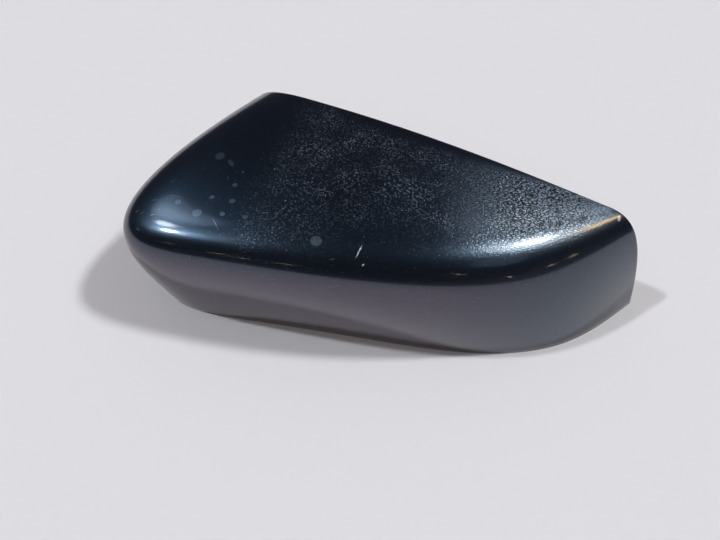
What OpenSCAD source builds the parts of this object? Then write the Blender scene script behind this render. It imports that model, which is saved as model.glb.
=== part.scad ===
// Wing mirror cover: the painted outer cap of a door mirror, one moulding.
// It lies open side down. X runs along its length, +Y towards the long cut edge, and Z is up from the foot.

/* [Cap] */
// Overall length, from the round nose to the foot of the pointed end
cap_length = 237; // [200:1:280]
// Overall depth, from the tall front wall to the back corner of the nose end
cap_depth = 106; // [92:1:125]
// Height of the crown at mid length, above the foot
crown_height = 62; // [52:1:72]
// How far the face falls at both ends
end_drop = 10; // [6:0.5:13]
// How much of that fall is given back at the very ends, which flattens them
end_lift = 3; // [0:0.5:4]
// How far the face falls towards the cut edge
back_fall = 3; // [0:0.5:6]
// How far the face falls on both sides of its middle line
side_drop = 3; // [1:0.5:5]

/* [Wall] */
// Thickness of the moulding
wall = 2.5; // [2.2:0.1:3.2]
// How tightly the wall turns over into the face, as a share of the wall's height
ridge_tightness = 0.88; // [0.7:0.01:0.92]
// How far the wall swells outwards halfway up
wall_swell = 5.6; // [2:0.2:8]
// Height of the thinned lap along the foot
lap_height = 4; // [2:0.5:7]
// Depth of the lap, taken off the inside
lap_depth = 1.1; // [0.6:0.1:1.4]

/* [Locating pegs] */
// Radius of each peg
peg_radius = 3; // [2:0.25:4]
// Length of each peg below its boss
peg_length = 16; // [8:1:20]
// Distance between the two pegs
peg_spacing = 80; // [60:1:90]
// Radius of the boss that carries each peg
boss_radius = 5.5; // [5:0.25:7]
// Length of the boss below the inside of the face
boss_length = 18; // [12:1:22]
// Height of the tapered lead at each peg's tip
peg_lead = 2; // [1:0.5:3]

/* [Snap clips] */
// Width of each clip
clip_width = 13; // [9:1:16]
// Thickness of each clip's tongue
clip_thick = 2; // [1.6:0.1:2.6]
// Length of each clip below the inside of the face
clip_length = 34; // [26:1:38]
// How far the hook stands out from the tongue
hook_reach = 2.6; // [1.5:0.1:3.5]
// Height of the hook's wedge
hook_height = 7; // [5:0.5:9]
// How far the side webs of a clip reach down
clip_web = 14; // [8:1:20]
// How far the side webs stand out behind the tongue
web_reach = 5; // [3:0.5:8]

/* [Ribs] */
// Thickness of each rib
rib_thick = 1.6; // [1.2:0.1:2]
// Depth of the ribs below the inside of the face
rib_depth = 5; // [3:0.5:8]
// Depth of the stiffening rib along the cut edge
edge_rib_depth = 8; // [5:0.5:12]
// How far that rib sits in from the cut edge
edge_rib_inset = 5; // [4:0.5:9]
// How far the lengthwise rib runs on past each peg
rib_overrun = 22; // [10:1:30]
// How far the cross ribs run from each peg towards the front
cross_rib_reach = 30; // [15:1:34]
// Number of ribs that turn with the section inside the front wall
wall_ribs = 5; // [3:1:7]

/* [Hidden] */
$fn = 48;

// Three guide curves in plan, as shares of length and depth, from the nose end of the cut edge
// round the nose and along the front to the pointed end. The wall stands on the first.
foot_guide = [[-0.344, 0.490], [-0.457, -0.058], [-0.474, -0.373], [-0.398, -0.469], [-0.240, -0.455],
    [-0.032, -0.454], [0.184, -0.454], [0.368, -0.342], [0.500, -0.046]];
// Wall and face would meet here if the ridge were sharp
corner_guide = [[-0.356, 0.492], [-0.481, 0.018], [-0.527, -0.307], [-0.485, -0.463], [-0.359, -0.492],
    [-0.177, -0.513], [0.028, -0.469], [0.228, -0.308], [0.411, 0.023]];
// The ridge runs out into the face here
shoulder_guide = [[-0.237, 0.427], [-0.350, 0.018], [-0.392, -0.221], [-0.357, -0.316], [-0.256, -0.324],
    [-0.114, -0.272], [0.044, -0.186], [0.202, -0.080], [0.352, 0.050]];

// Stations round the outline, steps up the wall and over the ridge, and steps across the face
stations = 64;
wall_steps = 10;
face_steps = 5;
nudge = 0.004;

// Uniform cubic spline through the first and last guide points
function before(p, i) = i == 0 ? 2 * p[0] - p[1] : p[i - 1];
function after(p, i) = i + 2 > len(p) - 1 ? 2 * p[i + 1] - p[i] : p[i + 2];
function blend(a, b, c, d, f) = (pow(1 - f, 3) * a + (3 * pow(f, 3) - 6 * pow(f, 2) + 4) * b
    + (-3 * pow(f, 3) + 3 * pow(f, 2) + 3 * f + 1) * c + pow(f, 3) * d) / 6;
function share(p, s) = let (x = s * (len(p) - 1), i = max(0, min(floor(x), len(p) - 2)))
    blend(before(p, i), p[i], p[i + 1], after(p, i), x - i);
function guide(p, s) = let (q = share(p, s)) [q[0] * cap_length, q[1] * cap_depth];

// Crowned face: its height and its slopes over any point in plan
half_length = cap_length / 2;
half_depth = cap_depth / 2;
end_lean = 1;
twist = 1.3;
function face_z(p) = let (u = p[0] / half_length, v = p[1] / half_depth)
    crown_height - end_lean * u - back_fall * v - end_drop * u * u + end_lift * pow(u, 4)
    - side_drop * v * v - twist * u * v;
function face_slope(p) = let (u = p[0] / half_length, v = p[1] / half_depth) [
    (-end_lean - 2 * end_drop * u + 4 * end_lift * pow(u, 3) - twist * v) / half_length,
    (-back_fall - 2 * side_drop * v - twist * u) / half_depth];
function on_face(p) = [p[0], p[1], face_z(p)];

// The four points that steer the section at one station: foot, swell, corner and shoulder
function unit(v) = v / norm(v);
function outward(s) = let (t = unit(guide(corner_guide, s + nudge) - guide(corner_guide, s - nudge))) [t[1], -t[0], 0];
function steer(s) = let (
    foot = guide(foot_guide, s),
    corner = guide(corner_guide, s),
    shoulder = guide(shoulder_guide, s),
    f = [foot[0], foot[1], 0],
    k = [corner[0], corner[1], face_z(shoulder) + face_slope(shoulder) * (corner - shoulder)])
    [f, f + ridge_tightness * (k - f) + wall_swell * outward(s), k, on_face(shoulder)];
function section(c, t) = pow(1 - t, 3) * c[0] + 3 * t * pow(1 - t, 2) * c[1]
    + 3 * t * t * (1 - t) * c[2] + pow(t, 3) * c[3];
function section_run(c, t) = pow(1 - t, 2) * (c[1] - c[0]) + 2 * t * (1 - t) * (c[2] - c[1])
    + t * t * (c[3] - c[2]);

// A point on the wall or the ridge, moved inwards by a depth square to the surface
function wall_normal(s, t) = unit(cross(section(steer(s + nudge), t) - section(steer(s - nudge), t),
    section_run(steer(s), t)));
function wall_point(s, t, depth) = section(steer(s), t) - depth * wall_normal(s, t);
// The same at the foot, where the edge is cut flat
function foot_point(s, depth) = let (p = wall_point(s, 0, depth), r = section_run(steer(s), 0))
    p - r * p[2] / r[2];

// The face between the shoulder and the straight cut edge
edge_start = guide(shoulder_guide, 0);
edge_end = guide(shoulder_guide, 1);
function edge_point(s) = edge_start + (0.12 + 0.76 * s) * (edge_end - edge_start);
function face_normal(p) = let (g = face_slope(p)) unit([-g[0], -g[1], 1]);
function face_point(s, q, depth) = let (p = guide(shoulder_guide, s) * (1 - q) + edge_point(s) * q)
    on_face(p) - depth * face_normal(p);

// One station of the outer skin, and one of the inner skin with its lap
lap_step = lap_height / (3 * ridge_tightness * crown_height);
function outer_row(s) = concat(
    [for (j = [0:wall_steps]) wall_point(s, j / wall_steps, 0)],
    [for (j = [1:face_steps]) face_point(s, j / face_steps, 0)]);
function inner_row(s) = concat(
    [foot_point(s, wall - lap_depth), wall_point(s, lap_step, wall - lap_depth), wall_point(s, lap_step, wall)],
    [for (j = [1:wall_steps]) wall_point(s, j / wall_steps, wall)],
    [for (j = [1:face_steps]) face_point(s, j / face_steps, wall)]);

outer_count = wall_steps + face_steps + 1;
inner_count = outer_count + 2;
last_row = stations;
inner_base = (stations + 1) * outer_count;
function o(i, j) = i * outer_count + j;
function n(i, j) = inner_base + i * inner_count + j;
function quad(a, b, c, d) = [[a, b, c], [a, c, d]];
function flat(lists) = [for (l = lists) each l];

// Closed faceted solid. It is laid out as the cap for the other side of the car and mirrored to this one.
module moulded(points, faces)
{
    mirror([1, 0, 0])
        polyhedron(
            points = [for (p = points) [-p[0], p[1], p[2]]],
            faces = [for (f = faces) [f[2], f[1], f[0]]],
            convexity = 6);
}

outer_faces = flat([for (i = [0:stations - 1], j = [0:outer_count - 2])
    quad(o(i, j), o(i, j + 1), o(i + 1, j + 1), o(i + 1, j))]);
inner_faces = flat([for (i = [0:stations - 1], j = [0:inner_count - 2])
    quad(n(i, j), n(i + 1, j), n(i + 1, j + 1), n(i, j + 1))]);
foot_faces = flat([for (i = [0:stations - 1]) quad(o(i, 0), o(i + 1, 0), n(i + 1, 0), n(i, 0))]);
edge_faces = flat([for (i = [0:stations - 1])
    quad(o(i, outer_count - 1), n(i, inner_count - 1), n(i + 1, inner_count - 1), o(i + 1, outer_count - 1))]);
nose_cut = concat(
    [[o(0, 0), n(0, 0), n(0, 1)], [o(0, 0), n(0, 1), n(0, 2)]],
    flat([for (j = [0:outer_count - 2]) quad(o(0, j), n(0, j + 2), n(0, j + 3), o(0, j + 1))]));
point_cut = concat(
    [[o(last_row, 0), n(last_row, 1), n(last_row, 0)], [o(last_row, 0), n(last_row, 2), n(last_row, 1)]],
    flat([for (j = [0:outer_count - 2])
        quad(o(last_row, j), o(last_row, j + 1), n(last_row, j + 3), n(last_row, j + 2))]));

module skin()
{
    moulded(
        points = concat(
            flat([for (i = [0:stations]) outer_row(i / stations)]),
            flat([for (i = [0:stations]) inner_row(i / stations)])),
        faces = concat(outer_faces, inner_faces, foot_faces, edge_faces, nose_cut, point_cut));
}

// Upright plate below the face from plan point a to b. Its top follows the middle of the moulding,
// and its lower edge is a depth below the inside of the face.
plate_steps = 8;
function along(a, b, k) = a + (b - a) * k / plate_steps;
module plate(a, b, thick, depth)
{
    run = b - a;
    top = [for (k = [0:plate_steps]) [norm(run) * k / plate_steps, face_z(along(a, b, k)) - wall / 2]];
    low = [for (k = [plate_steps:-1:0])
        [norm(run) * k / plate_steps, face_z(along(a, b, k)) - wall - depth]];
    translate([a[0], a[1], 0])
        rotate([0, 0, atan2(run[1], run[0])])
            rotate([90, 0, 0])
                translate([0, 0, -thick / 2])
                    linear_extrude(thick)
                        polygon(concat(top, low));
}

// Locating peg with its boss, hung from the face at p
module peg(p)
{
    seat = face_z(p) - wall;
    boss_foot = seat - boss_length;
    tip = boss_foot - peg_length;
    translate([p[0], p[1], boss_foot])
        cylinder(r = boss_radius, h = boss_length + wall / 2);
    translate([p[0], p[1], tip])
        cylinder(r = peg_radius, h = peg_length + 1);
    translate([p[0], p[1], tip - peg_lead])
        cylinder(r1 = peg_radius - peg_lead / 2, r2 = peg_radius, h = peg_lead);
}

// Snap clip hung from the face at p, its hook facing the direction given in degrees
module clip(p, facing)
{
    across = [-sin(facing), cos(facing)];
    ahead = [cos(facing), sin(facing)];
    a = p - across * clip_width / 2;
    b = p + across * clip_width / 2;
    low = min(face_z(a), face_z(b)) - wall - clip_length;
    plate(a, b, clip_thick, clip_length);
    // wedge-shaped hook at the free end
    translate([p[0], p[1], 0])
        rotate([0, 0, facing])
            rotate([90, 0, 0])
                translate([0, 0, -clip_width / 2])
                    linear_extrude(clip_width)
                        polygon([[0, low], [clip_thick / 2, low], [clip_thick / 2 + hook_reach, low + hook_height * 0.75],
                            [clip_thick / 2, low + hook_height], [0, low + hook_height]]);
    // webs that brace the tongue from behind
    for (e = [a + across * rib_thick, b - across * rib_thick])
        plate(e - ahead * (clip_thick / 2 + web_reach), e, rib_thick, clip_web);
}

// Rib that turns with the section: it follows the wall, the ridge and the start of the face
rib_from = 2;
rib_to = 8;
module section_rib(s)
{
    levels = [for (j = [rib_from:rib_to]) j / wall_steps];
    count = len(levels);
    side = unit(section(steer(s + nudge), 0.5) - section(steer(s - nudge), 0.5)) * rib_thick / 2;
    skin_line = [for (t = levels) wall_point(s, t, wall / 2)];
    free_line = [for (t = levels) wall_point(s, t, wall + rib_depth * (t == levels[0] || t == levels[count - 1] ? 0.2 : 1))];
    ring = concat(skin_line, [for (j = [count - 1:-1:0]) free_line[j]]);
    m = len(ring);
    strip = flat([for (j = [0:count - 2]) quad(j, j + 1, m - 2 - j, m - 1 - j)]);
    moulded(
        points = concat([for (p = ring) p - side], [for (p = ring) p + side]),
        faces = concat(
            [for (f = strip) [f[2], f[1], f[0]]],
            [for (f = strip) [f[0] + m, f[1] + m, f[2] + m]],
            flat([for (j = [0:m - 1]) quad(j, (j + 1) % m, (j + 1) % m + m, j + m)])));
}

// Layout of what stands inside
edge_run = unit(edge_end - edge_start);
edge_in = [edge_run[1], -edge_run[0]];
edge_angle = atan2(edge_run[1], edge_run[0]);
peg_mid = [-0.042 * cap_length, 0.07 * cap_depth];
peg_a = peg_mid - edge_run * peg_spacing / 2;
peg_b = peg_mid + edge_run * peg_spacing / 2;
rib_a = edge_start + edge_run * 6 + edge_in * edge_rib_inset;
rib_b = edge_end - edge_run * 6 + edge_in * edge_rib_inset;
front_a = guide(shoulder_guide, 0.50);
front_b = guide(shoulder_guide, 0.72);
nose = guide(shoulder_guide, 0.20);
back_a = rib_a + (rib_b - rib_a) * 0.22;
back_b = rib_a + (rib_b - rib_a) * 0.62;

module mirror_cover()
{
    color([0.035, 0.04, 0.055])
    {
        skin();
        // locating pegs, and the rib that joins their bosses
        peg(peg_a);
        peg(peg_b);
        plate(peg_a - edge_run * rib_overrun, peg_b + edge_run * rib_overrun, rib_thick, rib_depth);
        // stiffening rib along the cut edge, and cross ribs from it to the pegs and the front
        plate(rib_a, rib_b, rib_thick, edge_rib_depth);
        for (p = [peg_a, peg_b])
            plate(p + edge_in * cross_rib_reach, p - edge_in * ((p - rib_a) * edge_in), rib_thick, rib_depth);
        // five snap clips
        clip(front_a, -90);
        clip(front_b, -72);
        clip(nose, 180);
        clip(back_a + edge_in * 6, edge_angle + 90);
        clip(back_b + edge_in * 6, edge_angle + 90);
        // ribs inside the front wall
        for (k = [1:wall_ribs])
            section_rib(0.40 + 0.50 * (k - 0.5) / wall_ribs);
    }
}

mirror_cover();
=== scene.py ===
import math

import bmesh
import bpy
import numpy as np
from mathutils import Matrix, Vector


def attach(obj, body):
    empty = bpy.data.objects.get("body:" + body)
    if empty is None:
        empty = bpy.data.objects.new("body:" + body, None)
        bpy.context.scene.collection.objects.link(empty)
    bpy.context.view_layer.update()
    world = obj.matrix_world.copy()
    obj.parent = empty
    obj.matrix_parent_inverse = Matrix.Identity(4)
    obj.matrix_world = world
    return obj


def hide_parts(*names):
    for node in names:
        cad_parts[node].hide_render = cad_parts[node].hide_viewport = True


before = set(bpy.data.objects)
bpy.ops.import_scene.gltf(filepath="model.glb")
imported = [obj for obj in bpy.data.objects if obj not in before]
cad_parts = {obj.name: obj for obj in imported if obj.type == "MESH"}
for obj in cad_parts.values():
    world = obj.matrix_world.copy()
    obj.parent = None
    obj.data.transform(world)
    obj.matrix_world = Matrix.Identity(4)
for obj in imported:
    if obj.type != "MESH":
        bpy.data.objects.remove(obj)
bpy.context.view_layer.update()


# Painted shell. The real piece is an ABS injection moulding, 2.5 mm thick, sprayed and clear coated
# on its outside only. Three guide curves in plan steer one section from the foot, over the rounded
# ridge and into the crowned face, and the inside follows the outside square to it.
MM = 0.001
CAP_LENGTH = 237.0 * MM
CAP_DEPTH = 106.0 * MM
CROWN_HEIGHT = 62.0 * MM
END_DROP = 10.0 * MM
END_LIFT = 3.0 * MM
END_LEAN = 1.0 * MM
BACK_FALL = 3.0 * MM
SIDE_DROP = 3.0 * MM
TWIST = 1.3 * MM
WALL = 2.5 * MM
RIDGE_TIGHTNESS = 0.88
WALL_SWELL = 5.6 * MM
LAP_HEIGHT = 4.0 * MM
LAP_DEPTH = 1.1 * MM
NUDGE = 0.004
STATIONS = 300
WALL_STEPS = 44
FACE_STEPS = 28

# Foot, corner and shoulder lines in plan, as shares of length and depth, from the nose end of the
# cut edge round the nose and along the front to the pointed end
FOOT_GUIDE = np.array([
    (-0.344, 0.490), (-0.457, -0.058), (-0.474, -0.373), (-0.398, -0.469), (-0.240, -0.455),
    (-0.032, -0.454), (0.184, -0.454), (0.368, -0.342), (0.500, -0.046)])
CORNER_GUIDE = np.array([
    (-0.356, 0.492), (-0.481, 0.018), (-0.527, -0.307), (-0.485, -0.463), (-0.359, -0.492),
    (-0.177, -0.513), (0.028, -0.469), (0.228, -0.308), (0.411, 0.023)])
SHOULDER_GUIDE = np.array([
    (-0.237, 0.427), (-0.350, 0.018), (-0.392, -0.221), (-0.357, -0.316), (-0.256, -0.324),
    (-0.114, -0.272), (0.044, -0.186), (0.202, -0.080), (0.352, 0.050)])


def guide(points, s):
    """Smooth cubic curve through the first and last guide point."""
    s = np.atleast_1d(np.asarray(s, float))
    held = np.vstack([2 * points[0] - points[1], points, 2 * points[-1] - points[-2]])
    x = s * (len(points) - 1)
    i = np.clip(np.floor(x).astype(int), 0, len(points) - 2)
    f = (x - i)[:, None]
    curve = ((1 - f) ** 3 * held[i] + (3 * f**3 - 6 * f**2 + 4) * held[i + 1]
             + (-3 * f**3 + 3 * f**2 + 3 * f + 1) * held[i + 2] + f**3 * held[i + 3]) / 6
    return curve * (CAP_LENGTH, CAP_DEPTH)


def face_z(p):
    """Height of the crowned face over a plan point."""
    u, v = p[..., 0] * 2 / CAP_LENGTH, p[..., 1] * 2 / CAP_DEPTH
    return (CROWN_HEIGHT - END_LEAN * u - BACK_FALL * v - END_DROP * u * u + END_LIFT * u**4
            - SIDE_DROP * v * v - TWIST * u * v)


def face_slope(p):
    """Rise of the crowned face per metre along x and along y."""
    u, v = p[..., 0] * 2 / CAP_LENGTH, p[..., 1] * 2 / CAP_DEPTH
    return np.stack([
        (-END_LEAN - 2 * END_DROP * u + 4 * END_LIFT * u**3 - TWIST * v) * 2 / CAP_LENGTH,
        (-BACK_FALL - 2 * SIDE_DROP * v - TWIST * u) * 2 / CAP_DEPTH], axis=-1)


def unit(v):
    return v / np.linalg.norm(v, axis=-1, keepdims=True)


def steer(s):
    """Foot, swell, corner and shoulder points that steer the section at each station."""
    foot, corner, shoulder = guide(FOOT_GUIDE, s), guide(CORNER_GUIDE, s), guide(SHOULDER_GUIDE, s)
    along = unit(guide(CORNER_GUIDE, s + NUDGE) - guide(CORNER_GUIDE, s - NUDGE))
    outward = np.column_stack([along[:, 1], -along[:, 0], np.zeros(len(along))])
    stands = np.column_stack([foot, np.zeros(len(foot))])
    rise = face_z(shoulder) + (face_slope(shoulder) * (corner - shoulder)).sum(axis=1)
    turn = np.column_stack([corner, rise])
    swell = stands + RIDGE_TIGHTNESS * (turn - stands) + WALL_SWELL * outward
    return np.stack([stands, swell, turn, np.column_stack([shoulder, face_z(shoulder)])], axis=1)


EDGE_START = guide(SHOULDER_GUIDE, 0.0)[0]
EDGE_END = guide(SHOULDER_GUIDE, 1.0)[0]
stations = np.linspace(0, 1, STATIONS + 1)
steering = steer(stations)
# Each station's strip of the face ends on the straight cut edge, over this part of its length
CUT_FROM = 0.12
CUT_SPAN = 0.76
cut_line = EDGE_START + (CUT_FROM + CUT_SPAN * stations)[:, None] * (EDGE_END - EDGE_START)


def add(tree, kind, links=None, **settings):
    """Adds one node. Its settings go by name, and its inputs, each a socket or a value, by name or
    number."""
    node = tree.nodes.new(kind)
    for key, value in settings.items():
        setattr(node, key, value)
    for key, value in (links or {}).items():
        for one in value if isinstance(value, list) else [value]:
            if isinstance(one, bpy.types.NodeSocket):
                tree.links.new(one, node.inputs[key])
            else:
                node.inputs[key].default_value = one
    return node


def new_tree(name, sizes):
    """A Geometry Nodes tree with a geometry going in and out, and a named input for each size."""
    tree = bpy.data.node_groups.new(name, "GeometryNodeTree")
    tree.interface.new_socket("Geometry", in_out="INPUT", socket_type="NodeSocketGeometry")
    for size, value in sizes.items():
        kind = "NodeSocketInt" if isinstance(value, int) else "NodeSocketFloat"
        tree.interface.new_socket(size, in_out="INPUT", socket_type=kind)
    tree.interface.new_socket("Geometry", in_out="OUTPUT", socket_type="NodeSocketGeometry")
    return tree, add(tree, "NodeGroupInput").outputs


def grown(name, points, edges, attributes, tree, sizes):
    """The plain mesh object that a tree makes from guide points with their attributes."""
    mesh = bpy.data.meshes.new(name)
    mesh.from_pydata([tuple(p) for p in points], edges, [])
    for key, values in attributes.items():
        layer = mesh.attributes.new(key, "FLOAT_VECTOR", "POINT")
        layer.data.foreach_set("vector", np.asarray(values, np.float32).ravel())
    piece = bpy.data.objects.new(name, mesh)
    bpy.context.scene.collection.objects.link(piece)
    modifier = piece.modifiers.new("shape", "NODES")
    modifier.node_group = tree
    for socket in tree.interface.items_tree:
        if socket.in_out == "INPUT" and socket.name in sizes:
            modifier[socket.identifier] = sizes[socket.name]
    evaluated = bpy.context.evaluated_depsgraph_get()
    made = bpy.data.meshes.new_from_object(
        piece.evaluated_get(evaluated), preserve_all_data_layers=True, depsgraph=evaluated)
    piece.modifiers.remove(modifier)
    piece.data = made
    return piece


def srgb(code):
    """Linear colour of an sRGB hex value such as 1A1C20."""
    values = [int(code[i:i + 2], 16) / 255 for i in (0, 2, 4)]
    return (*[v / 12.92 if v <= 0.04045 else ((v + 0.055) / 1.055) ** 2.4 for v in values], 1.0)


def new_material(name):
    """An empty material, and its node tree."""
    material = bpy.data.materials.new(name)
    material.use_nodes = True
    material.node_tree.nodes.clear()
    return material, material.node_tree


# Black metallic base coat with fine blue flake under an aged two-pack clear coat: mirror gloss
# where the coat is sound, a steel-blue haze around each lamp from the flake, whitish hair cracks
# where the sun has crazed it, and near the point a leathery net of dark cracks between domed
# flakes of coat. Real cracks are 0.1 mm wide or finer. The hair cracks are drawn 0.1 mm wide, and
# the net 0.25 to 0.4 mm wide, because a pixel of the render covers 0.43 mm.
DRIFT_PER_MM = 0.5
NET_CELLS_PER_MM = 0.95
NET_STRETCH = 0.55
HAIR_CELLS_PER_MM = 1.35
HAIR_STRANDS = ((48, 2.2), (-42, 1.8))
BREAKS_PER_MM = 1.1
CLUSTERS_PER_MM = 0.08
SPECKS_PER_MM = 0.7
FLAKE_RELIEF = 0.09 * MM
COAT_RELIEF = 0.014 * MM
paint, nodes = new_material("crazed blue-black metallic lacquer")
place = add(nodes, "ShaderNodeTexCoord").outputs["Object"]
in_mm = add(nodes, "ShaderNodeMapping", {"Vector": place, "Scale": (1000, 1000, 1000)}).outputs[0]
crazing = add(nodes, "ShaderNodeAttribute", attribute_name="crazing").outputs["Fac"]
leathery = add(nodes, "ShaderNodeAttribute", attribute_name="leathery").outputs["Fac"]
sheltered = add(nodes, "ShaderNodeAttribute", attribute_name="sheltered").outputs["Fac"]
drift = add(nodes, "ShaderNodeTexNoise", {
    "Vector": in_mm, "Scale": DRIFT_PER_MM, "Detail": 3.0}).outputs["Color"]
drift_mm = add(nodes, "ShaderNodeVectorMath", {0: drift, 3: 1.0}, operation="SCALE").outputs[0]
bent = add(nodes, "ShaderNodeVectorMath", {0: in_mm, 1: drift_mm}, operation="ADD").outputs[0]
waves = add(nodes, "ShaderNodeVectorMath", {0: drift, 3: 2.2}, operation="SCALE").outputs[0]
wavy = add(nodes, "ShaderNodeVectorMath", {0: in_mm, 1: waves}, operation="ADD").outputs[0]
long_cells = add(
    nodes, "ShaderNodeMapping", {"Vector": wavy, "Scale": (NET_STRETCH, 1.0, 1.0)}).outputs[0]
net = add(nodes, "ShaderNodeTexVoronoi", {"Vector": long_cells, "Scale": NET_CELLS_PER_MM},
          feature="DISTANCE_TO_EDGE").outputs["Distance"]
# Map Range takes 1 and 2 as the values that give 0 and 1, or that give 3 and 4 where these are set
net_line = add(nodes, "ShaderNodeMapRange", {"Value": net, 1: 0.17, 2: 0.05}).outputs[0]
dome = add(nodes, "ShaderNodeMapRange", {"Value": net, 1: 0.0, 2: 0.30},
           interpolation_type="SMOOTHSTEP").outputs[0]
strands = []
for slant, length in HAIR_STRANDS:
    slanted = add(nodes, "ShaderNodeMapping", {
        "Vector": bent, "Rotation": (0, 0, math.radians(slant)), "Scale": (length, 1.0, 1.0)},
        vector_type="TEXTURE").outputs[0]
    cell = add(nodes, "ShaderNodeTexVoronoi", {"Vector": slanted, "Scale": HAIR_CELLS_PER_MM},
               feature="DISTANCE_TO_EDGE").outputs["Distance"]
    strands.append(add(nodes, "ShaderNodeMapRange", {"Value": cell, 1: 0.09, 2: 0.02}).outputs[0])
hair_line = add(nodes, "ShaderNodeMath", {0: strands[0], 1: strands[1]},
                operation="MAXIMUM").outputs[0]
breaks = add(nodes, "ShaderNodeTexNoise", {
    "Vector": in_mm, "Scale": BREAKS_PER_MM, "Detail": 1.0}).outputs["Fac"]
dash = add(nodes, "ShaderNodeMapRange", {"Value": breaks, 1: 0.50, 2: 0.62, 3: 0.06}).outputs[0]
clusters = add(nodes, "ShaderNodeTexNoise", {
    "Vector": in_mm, "Scale": CLUSTERS_PER_MM, "Detail": 3.0}).outputs["Fac"]
crowded = add(nodes, "ShaderNodeMapRange", {
    "Value": clusters, 1: 0.38, 2: 0.70, 3: 0.36}).outputs[0]
kept = add(nodes, "ShaderNodeMath", {0: dash, 1: crowded}, operation="MULTIPLY").outputs[0]
hair_kept = add(nodes, "ShaderNodeMath", {0: hair_line, 1: kept}, operation="MULTIPLY").outputs[0]
finely = add(nodes, "ShaderNodeMath", {0: leathery, 1: -0.60, 2: crazing},
             operation="MULTIPLY_ADD", use_clamp=True).outputs[0]
hair_here = add(nodes, "ShaderNodeMath", {0: hair_kept, 1: finely}, operation="MULTIPLY").outputs[0]
net_here = add(nodes, "ShaderNodeMath", {0: net_line, 1: leathery}, operation="MULTIPLY").outputs[0]
dome_here = add(nodes, "ShaderNodeMath", {0: dome, 1: leathery}, operation="MULTIPLY").outputs[0]
relief = add(nodes, "ShaderNodeMath", {0: hair_here, 1: -0.5, 2: dome_here},
             operation="MULTIPLY_ADD").outputs[0]
flake_bump = add(nodes, "ShaderNodeBump", {
    "Strength": 1.0, "Distance": FLAKE_RELIEF, "Height": relief}).outputs[0]
coat_bump = add(nodes, "ShaderNodeBump", {
    "Strength": 1.0, "Distance": COAT_RELIEF, "Height": relief}).outputs[0]
coat_left = add(nodes, "ShaderNodeMath", {0: net_here, 1: -0.85, 2: 1.0},
                operation="MULTIPLY_ADD").outputs[0]

# Marks on the clear coat, as (x, y, turn, half length, half width, strength) in mm and degrees:
# dried water spots, then scratches and chips through to the pale primer
WATER_SPOTS = [
    (-92.0, -28.7, 0, 1.5, 1.5, 0.5), (-82.4, -33.1, 0, 2.2, 2.1, 0.7),
    (-78.8, -24.4, 0, 1.2, 1.1, 0.9), (-70.0, -25.4, 20, 1.5, 1.3, 0.7),
    (-72.1, -32.3, 0, 1.2, 1.2, 0.9), (-62.5, -32.5, 0, 1.3, 1.1, 0.6),
    (-71.3, -16.9, 0, 1.3, 1.3, 0.6), (-82.7, -1.4, 0, 2.4, 2.4, 0.5),
    (-76.7, -4.9, -50, 2.6, 1.1, 0.5), (-32.3, -39.2, 0, 2.6, 2.4, 0.8)]
SCRATCHES = [
    (-15.2, -40.6, 72, 3.4, 0.35, 1.0), (-12.8, -44.9, 40, 0.6, 0.4, 0.9),
    (-73.6, -37.0, -53, 3.6, 0.16, 0.5), (-100.8, -35.8, 25, 1.4, 0.2, 0.4),
    (-108.5, -33.8, 30, 1.0, 0.2, 0.5), (-84.9, 28.4, 20, 1.0, 0.5, 0.4),
    (89.9, 0.9, 70, 1.5, 0.9, 0.8), (-25.0, -45.0, 15, 1.4, 0.15, 0.3),
    (-102.2, -28.5, 20, 2.0, 0.14, 0.35), (-105.7, -34.9, 40, 1.2, 0.16, 0.35),
    (-98.1, -17.9, 55, 1.6, 0.14, 0.3), (-93.9, -25.8, -2, 4.0, 0.13, 0.2),
    (-75.4, -13.5, -50, 1.4, 0.14, 0.3), (-70.1, -9.3, 10, 0.7, 0.3, 0.5)]
rough_edge = add(
    nodes, "ShaderNodeTexNoise", {"Vector": in_mm, "Scale": 1.1, "Detail": 3.0}).outputs["Color"]
edge_shift = add(nodes, "ShaderNodeVectorMath", {0: rough_edge, 1: (0.5, 0.5, 0.5)},
                 operation="SUBTRACT").outputs[0]
edge_mm = add(nodes, "ShaderNodeVectorMath", {0: edge_shift, 3: 0.7}, operation="SCALE").outputs[0]
ragged = add(nodes, "ShaderNodeVectorMath", {0: in_mm, 1: edge_mm}, operation="ADD").outputs[0]
masks = []
DEEPER_THAN_SHELL = 1000
for marks, soft in ((WATER_SPOTS, 0.72), (SCRATCHES, 0.4)):
    total = None
    for x, y, turn, half_length, half_width, strength in marks:
        local = add(nodes, "ShaderNodeMapping", {
            "Vector": ragged, "Location": (x, y, 0), "Rotation": (0, 0, math.radians(turn)),
            "Scale": (half_length, half_width, DEEPER_THAN_SHELL)},
            vector_type="TEXTURE").outputs[0]
        away = add(nodes, "ShaderNodeVectorMath", {0: local}, operation="LENGTH").outputs["Value"]
        mark = add(nodes, "ShaderNodeMapRange", {
            "Value": away, 1: 1.0, 2: soft, 4: strength}).outputs[0]
        total = mark if total is None else add(
            nodes, "ShaderNodeMath", {0: total, 1: mark}, operation="MAXIMUM").outputs[0]
    masks.append(total)
mottle = add(nodes, "ShaderNodeTexNoise", {
    "Vector": in_mm, "Scale": 1.6, "Detail": 3.0}).outputs["Fac"]
mottled = add(nodes, "ShaderNodeMapRange", {"Value": mottle, 1: 0.3, 2: 0.65, 3: 0.5}).outputs[0]
film = add(nodes, "ShaderNodeMath", {0: masks[0], 1: mottled}, operation="MULTIPLY").outputs[0]
# Pale specks: dust over the whole face, and many more over the crazing, which are painted glints,
# tiny crack edges catching the lamps drawn as pale colour
speck_cell = add(nodes, "ShaderNodeTexVoronoi", {"Vector": in_mm, "Scale": SPECKS_PER_MM})
speck_near = add(nodes, "ShaderNodeMapRange", {
    "Value": speck_cell.outputs["Distance"], 1: 0.17, 2: 0.07}).outputs[0]
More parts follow.
